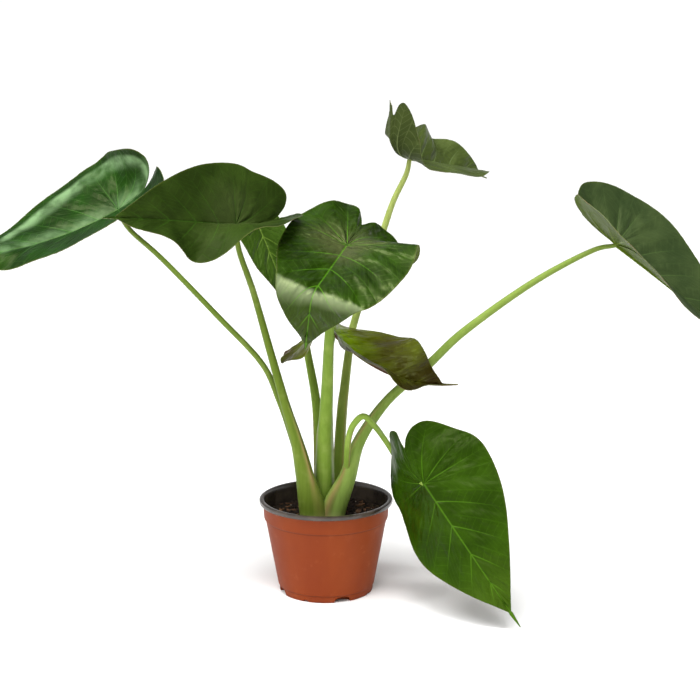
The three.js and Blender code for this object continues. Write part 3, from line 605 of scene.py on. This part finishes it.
def soil_piece(soil, bark, grit):
    """The mix with crumbs, bark chips and pale grains lying on it."""
    verts, faces = soil_body()
    body_faces = len(faces)
    kinds = [0] * body_faces

    def add(made, kind):
        points, polygons = made
        start = len(verts)
        verts.extend(map(tuple, points))
        faces.extend(tuple(start + i for i in f) for f in polygons)
        kinds.extend([kind] * len(polygons))

    for _ in range(CRUMBS):
        x, y = scattered(65.5)
        size = RNG.choice([0.7, 1, 1.4, 2.1], p=[0.35, 0.35, 0.22, 0.08])
        add(crumb((x, y, soil_height(x, y) + 0.25 * size), size, RNG.uniform(0.5, 0.9)), 0)
    for _ in range(CHIPS):
        x, y = scattered(63, 0.05)
        length = RNG.uniform(5, 14)
        inward = min(1, (66.5 - length / 2) / math.hypot(x, y))
        x, y = x * inward, y * inward
        width, thick = length * RNG.uniform(0.2, 0.45), RNG.uniform(0.9, 2)
        add(bark_chip((x, y, soil_height(x, y) + 1), length, width, thick), 1)
    for _ in range(GRAINS):
        x, y = scattered(62)
        add(crumb((x, y, soil_height(x, y) + 0.5), RNG.uniform(0.6, 1.2), 0.9), 2)
    made = mesh_object("potting_mix_top", verts, faces, [soil, bark, grit], kinds)
    made.data.polygons.foreach_set("use_smooth", np.arange(len(faces)) < body_faces)
    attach(made, "root")
    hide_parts("potting_mix")


# Materials


def linear(code):
    """Linear colour of a hex code."""
    parts = [int(code[i:i + 2], 16) / 255 for i in (0, 2, 4)]
    return (*[c / 12.92 if c < 0.04045 else ((c + 0.055) / 1.055) ** 2.4 for c in parts], 1)


class Paint:
    """A material and its nodes. The calls add nodes and give an output."""

    def __init__(self, name, **values):
        self.material = bpy.data.materials.new(name)
        self.material.use_nodes = True
        self.tree = self.material.node_tree
        self.shader = self.tree.nodes["Principled BSDF"]
        for key, value in values.items():
            self.shader.inputs[key.replace("_", " ")].default_value = value

    def put(self, socket, value):
        if isinstance(value, bpy.types.NodeSocket):
            self.tree.links.new(value, socket)
        elif isinstance(value, str):
            socket.default_value = linear(value)
        else:
            socket.default_value = value

    def add(self, kind, values=(), out=0, **settings):
        node = self.tree.nodes.new("ShaderNode" + kind)
        for key, value in settings.items():
            setattr(node, key, value)
        for key, value in dict(values).items():
            self.put(node.inputs[key], value)
        return node.outputs[out]

    def math(self, operation, a, b=0.0, c=0.0):
        return self.add("Math", {0: a, 1: b, 2: c}, operation=operation)

    def uv(self, name):
        split = self.add("SeparateXYZ", {0: self.add("UVMap", uv_map=name)})
        return split, split.node.outputs[1]

    def place(self):
        return self.add("TexCoord", out="Object")

    def noise(self, scale, detail=3, where=None, rough=0.5):
        values = {"Scale": scale, "Detail": detail, "Roughness": rough, "Vector": where or self.place()}
        return self.add("TexNoise", values)

    def step(self, value, start, end, low=0.0, high=1.0):
        """Smooth step of value from start to end."""
        values = {"Value": value, "From Min": start, "From Max": end, "To Min": low, "To Max": high}
        return self.add("MapRange", values, interpolation_type="SMOOTHSTEP")

    def mix(self, share, a, b):
        node = self.tree.nodes.new("ShaderNodeMix")
        node.data_type = "RGBA"
        for socket, value in ((node.inputs[0], share), (node.inputs[6], a), (node.inputs[7], b)):
            self.put(socket, value)
        return node.outputs[2]

    def finish(self, color, roughness, height=None, bump=0.3, depth=0.0005):
        """Joins the colour, the roughness and the fine relief to the shader."""
        self.put(self.shader.inputs["Base Color"], color)
        self.put(self.shader.inputs["Roughness"], roughness)
        if height is not None:
            made = self.add("Bump", {"Height": height, "Strength": bump, "Distance": depth})
            self.put(self.shader.inputs["Normal"], made)
        return self.material


def vein_masks(p, main=1.0):
    """Masks of the main veins, the fine veins and the puckering, then share of the ray and the flat place.
    In the maps 1 is 100 mm."""
    veins, share = p.uv("Veins")
    spacing, along = p.uv("Sizes")
    across, length = p.uv("Plan")
    off = p.math("MULTIPLY", p.math("PINGPONG", veins, 0.5), spacing)
    width = p.math("MULTIPLY_ADD", share, -0.006 * main, 0.01 * main)
    side = p.step(off, p.math("MULTIPLY", width, 0.2), width, 1, 0)
    side = p.math("MULTIPLY", side, p.step(veins, 0.6, 0.8))
    side = p.math("MULTIPLY", side, p.step(share, 0.25, 0.95, 1, 0.15))
    rib_width = p.math("MULTIPLY_ADD", length, -0.005, 0.0155)
    rib = p.step(p.math("ABSOLUTE", across), p.math("MULTIPLY", rib_width, 0.3), rib_width, 1, 0)
    rib = p.math("MULTIPLY", rib, p.step(length, -0.04, 0.0))
    collective = p.step(p.math("PINGPONG", p.math("ADD", veins, 0.5), 0.5), 0.012, 0.03, 1, 0)
    slant = p.math("SUBTRACT", along, p.math("MULTIPLY", off, 0.9))
    branch = p.step(p.math("PINGPONG", p.math("MULTIPLY", slant, 13), 0.5), 0.03, 0.075, 1, 0)
    fine = p.math("MULTIPLY", p.math("MAXIMUM", collective, branch), p.step(along, 0.06, 0.2))
    cells = p.noise(2.2, 1.2, p.add("CombineXYZ", {0: veins, 1: p.math("MULTIPLY", along, 2.1), 2: across}))
    pucker = p.step(cells, 0.34, 0.66)
    return p.math("MAXIMUM", rib, side), fine, pucker, share, length, across


def upper_face(name, body, deep, vein, near=None, tip=None, painted_sheen=None, crease_sheen=None, vein_strength=0.5,
               tip_from=0.3, roughness=0.34, gloss=0.22, relief=1.0):
    """Upper side of a blade: mottled green with paler veins. near is a colour by the stalk, the blade's own
    tone on blade 5 and a painted sheen on blades 2 and 3, and tip one toward the tip. The sheen colour is a
    painted sheen inside the right margin and by the rib. The last pair gives a place on the rib and the
    colour of a painted highlight band past it."""
    p = Paint(name, Specular_IOR_Level=gloss, Specular_Tint=LEAF_SHEEN)
    main, fine, pucker, share, length, across = vein_masks(p)
    where = p.add("UVMap", uv_map="Plan")
    mottle = p.step(p.noise(2.6, 4, where), 0.35, 0.68)
    color = p.mix(mottle, deep, body)
    wander = p.math("MULTIPLY", p.noise(1.8, 3, where), 0.7)
    # The colour by the stalk is a painted sheen on blades 2 and 3 and the young blade's own paler tone on
    # blade 5.
    if near:
        squares = p.math("MULTIPLY", across, across), p.math("MULTIPLY", length, length)
        reach = p.math("SQRT", p.math("ADD", *squares))
        color = p.mix(p.step(p.math("ADD", reach, wander), 0.45, 0.95, 1, 0), color, near)
    if tip:
        color = p.mix(p.step(p.math("ADD", length, wander), tip_from + 0.3, tip_from + 0.9), color, tip)
    # Painted sheen: a paler colour in a patchy band inside the right margin and along the rib.
    if painted_sheen:
        inside = p.math("MULTIPLY", p.step(share, 0.6, 0.82), p.step(share, 0.84, 0.92, 1, 0))
        beside = p.step(p.math("ABSOLUTE", across), 0.0, 0.24, 0.6, 0)
        uneven = p.step(p.noise(3.6, 3, where), 0.32, 0.66, 0.1, 0.85)
        patches = p.math("MULTIPLY", uneven, p.step(across, -0.06, 0.02))
        color = p.mix(p.math("MULTIPLY", p.math("MAXIMUM", inside, beside), patches), color, painted_sheen)
    # Painted highlight: a pale band just past a place on the rib, fading away toward the tip.
    if crease_sheen:
        past, band_sheen = crease_sheen
        uneven = p.math("MULTIPLY_ADD", p.noise(4, 2, where), 0.12, length)
        fading = p.step(uneven, past + 0.05, past + 0.23, 0.6, 0)
        color = p.mix(p.math("MULTIPLY", p.step(uneven, past, past + 0.05), fading), color, band_sheen)
    color = p.mix(p.math("MULTIPLY", fine, 0.07), color, vein)
    color = p.mix(p.math("MULTIPLY", main, vein_strength), color, vein)
    color = p.mix(p.step(share, 0.972, 0.992, 0, 0.5), color, "46521c")
    rough = p.math("MULTIPLY_ADD", p.noise(9, 4, where), 0.2, roughness - 0.1)
    pores = p.noise(90, 2, where)
    sunk = p.math("MULTIPLY_ADD", fine, 0.05, p.math("MULTIPLY", main, 0.07))
    height = p.math("SUBTRACT", p.math("MULTIPLY", pores, 0.02), sunk)
    height = p.math("MULTIPLY_ADD", pucker, relief, height)
    return p.finish(color, rough, height, 0.8, 0.002)


def lower_face(name, body, stain, vein, roughness=0.5):
    """Lower side of a blade: duller, flushed between raised veins."""
    p = Paint(name, Specular_IOR_Level=0.09, Specular_Tint=LEAF_SHEEN)
    main, fine, pucker, *_ = vein_masks(p, 1.3)
    where = p.add("UVMap", uv_map="Plan")
    color = p.mix(p.step(p.noise(2.2, 4, where), 0.3, 0.7), body, stain)
    color = p.mix(p.math("MULTIPLY", fine, 0.2), color, vein)
    color = p.mix(p.math("MULTIPLY", main, 0.75), color, vein)
    rough = p.math("MULTIPLY_ADD", p.noise(8, 3, where), 0.16, roughness - 0.08)
    height = p.math("ADD", p.math("MULTIPLY", p.noise(80, 2, where), 0.05), p.math("MULTIPLY", fine, 0.17))
    return p.finish(color, rough, p.math("MULTIPLY_ADD", pucker, 0.8, height), 0.5, 0.0012)


def edge_material():
    p = Paint("blade_edge", Specular_IOR_Level=0.4)
    color = p.mix(p.step(p.noise(60, 3), 0.35, 0.7), "56622c", "6b5a34")
    return p.finish(color, p.math("MULTIPLY_ADD", p.noise(120, 2), 0.2, 0.4))


def stalk_material(name, low, high, streak):
    """Smooth stalk: pale foot, faint lengthwise streaks, brownish sheath edges."""
    p = Paint(name, Specular_IOR_Level=0.2, Specular_Tint=LEAF_SHEEN)
    along, stain = p.uv("Stem")
    flow = p.add("Mapping", {"Vector": p.place(), "Scale": (1, 1, 0.06)})
    streaks = p.step(p.noise(260, 3, flow), 0.4, 0.7)
    color = p.mix(p.step(along, 0.1, 0.85), low, high)
    color = p.mix(p.math("MULTIPLY", streaks, 0.35), color, streak)
    color = p.mix(p.step(p.noise(38, 3), 0.5, 0.75, 0, 0.25), color, "a9b765")
    color = p.mix(p.step(along, 0.0, 0.06, 0.55, 0), color, "cfcf98")
    patchy = p.step(p.noise(70, 3, flow), 0.3, 0.6, 0.2, 0.75)
    color = p.mix(p.math("MULTIPLY", stain, patchy), color, "9a7a52")
    rough = p.math("MULTIPLY_ADD", p.noise(50, 3), 0.18, 0.36)
    height = p.math("ADD", p.noise(420, 2, flow), p.math("MULTIPLY", p.noise(900, 2), 0.3))
    return p.finish(color, rough, height, 0.18, 0.0003)


def pot_outside():
    """Terracotta-coloured plastic with a painted shadow line at each of its two ring steps, and dust."""
    p = Paint("terracotta_plastic", Specular_IOR_Level=0.14)
    flow = p.add("Mapping", {"Vector": p.place(), "Scale": (1, 1, 0.25)})
    color = p.mix(p.step(p.noise(22, 4, flow), 0.3, 0.7), "79300d", "83380f")
    z = p.add("SeparateXYZ", {0: p.place()}, out=2)
    color = p.mix(p.math("MULTIPLY", p.step(z, 0.006, 0.0, 0, 0.35), p.noise(160, 3)), color, "4c2010")
    # Painted shadow: a dark band at the foot ring and under the collar's step.
    for ring in (FOOT_RING * MM, COLLAR_RING * MM):
        above = p.step(z, ring, ring + 0.0009, 0.55, 0)
        color = p.mix(p.math("MULTIPLY", p.step(z, ring - 0.0012, ring), above), color, "3a1608")
    dust = p.math("MULTIPLY", p.step(p.noise(70, 6, rough=0.7), 0.56, 0.75), 0.2)
    color = p.mix(dust, color, "a8603c")
    rough = p.math("MULTIPLY_ADD", p.noise(60, 4), 0.2, 0.42)
    height = p.math("ADD", p.noise(700, 2), p.math("MULTIPLY", p.noise(40, 2, flow), 1.5))
    return p.finish(color, rough, height, 0.1, 0.0004)


def pot_inside():
    p = Paint("black_plastic", Specular_IOR_Level=0.6)
    color = p.mix(p.step(p.noise(45, 4), 0.35, 0.7), "2e2722", "483e36")
    color = p.mix(p.step(p.noise(240, 4, rough=0.7), 0.6, 0.75, 0, 0.35), color, "6a5a4c")
    rough = p.math("MULTIPLY_ADD", p.noise(80, 4), 0.16, 0.14)
    return p.finish(color, rough, p.noise(600, 2), 0.12, 0.0003)


def soil_material():
    p = Paint("potting_mix", Specular_IOR_Level=0.25)
    color = p.mix(p.step(p.noise(130, 5), 0.35, 0.68), "17100b", "33261b")
    color = p.mix(p.step(p.noise(420, 3), 0.62, 0.72, 0, 0.6), color, "54402c")
    return p.finish(color, p.math("MULTIPLY_ADD", p.noise(200, 3), 0.2, 0.75), p.noise(500, 4), 0.8, 0.0008)


def bark_material():
    p = Paint("bark", Specular_IOR_Level=0.3)
    flow = p.add("Mapping", {"Vector": p.place(), "Scale": (0.2, 1, 1)})
    color = p.mix(p.step(p.noise(110, 4), 0.35, 0.65), "38261a", "6b4a30")
    color = p.mix(p.step(p.noise(420, 3, flow), 0.5, 0.7, 0, 0.5), color, "8a6340")
    rough = p.math("MULTIPLY_ADD", p.noise(200, 3), 0.2, 0.6)
    return p.finish(color, rough, p.noise(500, 4, flow), 0.6, 0.0006)


def grit_material():
    p = Paint("perlite", Specular_IOR_Level=0.3)
    color = p.mix(p.step(p.noise(500, 4), 0.4, 0.65), "8d8478", "b9b2a4")
    return p.finish(color, 0.8, p.noise(900, 3), 0.5, 0.0004)


def corm_material():
    p = Paint("rootstock", Specular_IOR_Level=0.3)
    color = p.mix(p.step(p.noise(90, 5), 0.35, 0.7), "4a3423", "84694a")
    return p.finish(color, p.math("MULTIPLY_ADD", p.noise(140, 3), 0.2, 0.65), p.noise(300, 4), 0.7, 0.0008)


# The plant and its pot

# Tint of the gloss on leaves and stalks, then the upper and lower faces of the eight blades, and the colours
# of the eight stalks: at the foot, at the blade and in the streaks
LEAF_SHEEN = (0.85, 1, 0.4, 1)
UPPER = [
    # Blade 1: its paler colour inside the right margin and by the rib is a painted sheen.
    dict(body="123602", deep="0b2502", vein="4f8a32", vein_strength=0.25, gloss=0.13, relief=0.4,
         painted_sheen="78986a"),
    # Blade 2: its colour by the stalk is a painted sheen.
    dict(body="2c3e12", deep="1f2e0a", vein="3c6a18", vein_strength=0.25, near="38461f", roughness=0.46,
         gloss=0.08, relief=0.4),
    # Blade 3: its colour by the stalk is a painted sheen.
    # Blade 3: the pale band past its bend is a painted highlight.
    dict(body="243e04", deep="182b03", vein="56901a", roughness=0.32, near="404826",
         tip="223402", tip_from=0.9, crease_sheen=(1.04, "8a9670"), gloss=0.26, relief=1.15),
    dict(body="3a5418", deep="2b420d", vein="708c36", roughness=0.4, gloss=0.16, relief=0.8),
    dict(body="5a6406", deep="403c0a", vein="66701a", vein_strength=0.35, roughness=0.32, near="7c9a0c",
         tip="2b2006", tip_from=0.8, gloss=0.2, relief=1.2),
    dict(body="4a5829", deep="3b471f", vein="6f8250", roughness=0.38, gloss=0.18, relief=0.8),
    dict(body="384626", deep="2b391e", vein="4c6433", vein_strength=0.4, roughness=0.38, gloss=0.18,
         relief=0.5),
    dict(body="2a4604", deep="1d3402", vein="55861c", vein_strength=0.4, roughness=0.38, tip="344c0c",
         tip_from=0.9, gloss=0.1, relief=0.9),
]
LOWER = [
    dict(body="565f34", stain="55452f", vein="7d8550"),
    dict(body="3f4c22", stain="3b3320", vein="66743c"),
    dict(body="52622c", stain="4b4a2a", vein="727f48"),
    dict(body="4c5a2a", stain="4a4228", vein="727f48"),
    dict(body="5a4436", stain="4a3328", vein="6f6040"),
    dict(body="39431f", stain="303a1b", vein="6c7849"),
    dict(body="43560c", stain="3a480e", vein="667a26"),
    dict(body="434f26", stain="3f3724", vein="6f7d44"),
]
STALK_TINTS = [
    ("6c8034", "667c30", "52681e"), ("677c2a", "5e7224", "4e641a"), ("7c983a", "6e8834", "5c7a22"),
    ("7a9638", "6b8430", "5c7626"), ("84a240", "728e34", "647f2a"), ("7a923a", "939f58", "6e822e"),
    ("829c48", "72863c", "627c2c"), ("7e9a3e", "8aa44c", "708a34"),
]


def dress():
    edge = edge_material()
    for k, (spec, upper, lower) in enumerate(zip(LEAVES, UPPER, LOWER), 1):
        top, under = upper_face(f"leaf_top_{k}", **upper), lower_face(f"leaf_under_{k}", **lower)
        blade_piece(k, spec, top, under, edge)
    for k, (spec, tint) in enumerate(zip(STALKS, STALK_TINTS), 1):
        stalk_piece(k, spec, stalk_material(f"stalk_skin_{k}", *tint))
    pot_piece(pot_outside(), pot_inside())
    soil_piece(soil_material(), bark_material(), grit_material())
    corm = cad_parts["corm"]
    corm.data.materials.clear()
    corm.data.materials.append(corm_material())


# Floor, light and camera

FLOOR_REACH = 60000
# Sky: level all round, what is added toward the bright side and how narrow that is, and toward the left. Then
# a pale wall all round: its glow, the sine of the height where it ends and how sharply it does.
SKY_LEVEL, SKY_UP, SKY_FOCUS, SKY_LEFT = 0.3, 4.4, 8, 0.4
SKY_BRIGHT_SIDE = (-0.12, -0.5, 0.86)
WALL_GLOW, WALL_TOP, WALL_FADE = 1.05, 0.26, 12
PHOTO_WIDTH, FOCAL_PIXELS, SENSOR = 700, 1755, 36
CAMERA_PLACE = (0.02735, -1.921, 0.6879)
CAMERA_DIP = 12


def floor():
    p = Paint("floor", Specular_IOR_Level=0.1)
    p.finish(p.mix(p.noise(0.7, 2), "fafafa", "fdfdfc"), 0.9)
    corners = [(x * FLOOR_REACH, y * FLOOR_REACH, 0) for x, y in ((-1, -1), (1, -1), (1, 1), (-1, 1))]
    mesh_object("floor", corners, [(0, 1, 2, 3)], [p.material])


def lamp(name, place, target, size, power):
    light = bpy.data.lights.new(name, "AREA")
    light.shape = "RECTANGLE"
    light.size, light.size_y = size
    light.energy = power
    made = bpy.data.objects.new(name, light)
    made.location = place
    made.rotation_euler = (Vector(target) - Vector(place)).to_track_quat("-Z", "Y").to_euler()
    bpy.context.scene.collection.objects.link(made)


def sky(world):
    """Soft surroundings: pale low wall all round, bright above the front, a little brighter on the left."""
    tree = world.node_tree
    back = tree.nodes["Background"]

    def put(kind, operation, *values, out=0):
        node = tree.nodes.new("ShaderNode" + kind)
        node.operation = operation
        for socket, value in zip(node.inputs, values):
            if isinstance(value, bpy.types.NodeSocket):
                tree.links.new(value, socket)
            else:
                socket.default_value = value
        return node.outputs[out]

    where = tree.nodes.new("ShaderNodeTexCoord").outputs["Generated"]
    toward = put("VectorMath", "DOT_PRODUCT", where, SKY_BRIGHT_SIDE, out="Value")
    left = put("VectorMath", "DOT_PRODUCT", where, (-SKY_LEFT, 0, 0), out="Value")
    bright = put("Math", "POWER", put("Math", "MAXIMUM", toward, 0), SKY_FOCUS)
    value = put("Math", "ADD", put("Math", "MULTIPLY_ADD", bright, SKY_UP, SKY_LEVEL), left)
    height = put("Math", "ABSOLUTE", put("VectorMath", "DOT_PRODUCT", where, (0, 0, 1), out="Value"))
    fade = put("Math", "MULTIPLY_ADD", height, -WALL_FADE, WALL_FADE * WALL_TOP)
    wall = put("Math", "SMOOTH_MIN", fade, WALL_GLOW, 0.2)
    tree.links.new(put("Math", "MAXIMUM", put("Math", "MAXIMUM", value, wall), 0.05), back.inputs[1])
    back.inputs[0].default_value = (1, 1, 1, 1)


def studio():
    floor()
    world = bpy.data.worlds.new("studio")
    world.use_nodes = True
    sky(world)
    bpy.context.scene.world = world
    lamp("key", (-1.3, -0.35, 2.2), (-0.1, 0, 0.3), (0.6, 1.0), 26)
    lamp("top", (0.0, -1.0, 2.4), (0, 0, 0.3), (1.2, 0.3), 30)
    bpy.context.scene.view_settings.view_transform = "Standard"


def camera():
    data = bpy.data.cameras.new("camera")
    data.sensor_width = SENSOR
    data.lens = FOCAL_PIXELS / PHOTO_WIDTH * SENSOR
    data.clip_start, data.clip_end = 0.05, 300
    made = bpy.data.objects.new("camera", data)
    made.location = CAMERA_PLACE
    made.rotation_euler = (math.radians(90 - CAMERA_DIP), 0, 0)
    bpy.context.scene.collection.objects.link(made)
    bpy.context.scene.camera = made


camera()
dress()
studio()
